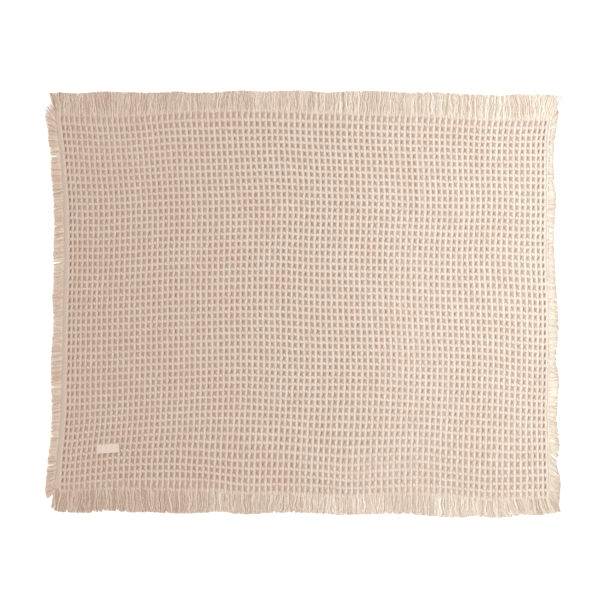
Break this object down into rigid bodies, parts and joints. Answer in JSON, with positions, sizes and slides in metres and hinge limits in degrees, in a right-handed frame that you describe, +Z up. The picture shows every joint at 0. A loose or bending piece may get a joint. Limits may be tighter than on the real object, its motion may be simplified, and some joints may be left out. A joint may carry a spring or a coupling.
{
  "type": "waffle weave cotton blanket",
  "caption": "Flat waffle weave cotton blanket with loose yarn fringe along every edge and a small blank sewn label near one corner.",
  "frame": {"origin": "middle of the box round the blanket, on the plane it lies on", "axes": "+Z up out of the cloth's face, +X along the long side, +Y along the short side towards the top fringe; the label is at low X and low Y"},
  "size_m": [1.1982, 0.9966, 0.0053],
  "materials": {
    "waffle_weave": "undyed cotton in a deep waffle weave",
    "fringe_yarn": "loose plied cotton yarn ends",
    "label_tape": "plain woven tape"
  },
  "bodies": {
    "root": {"waffle_cloth": "waffle_weave", "fringe_top": "fringe_yarn", "fringe_bottom": "fringe_yarn", "fringe_left": "fringe_yarn", "fringe_right": "fringe_yarn", "sewn_label": "label_tape"}
  },
  "joints": []
}
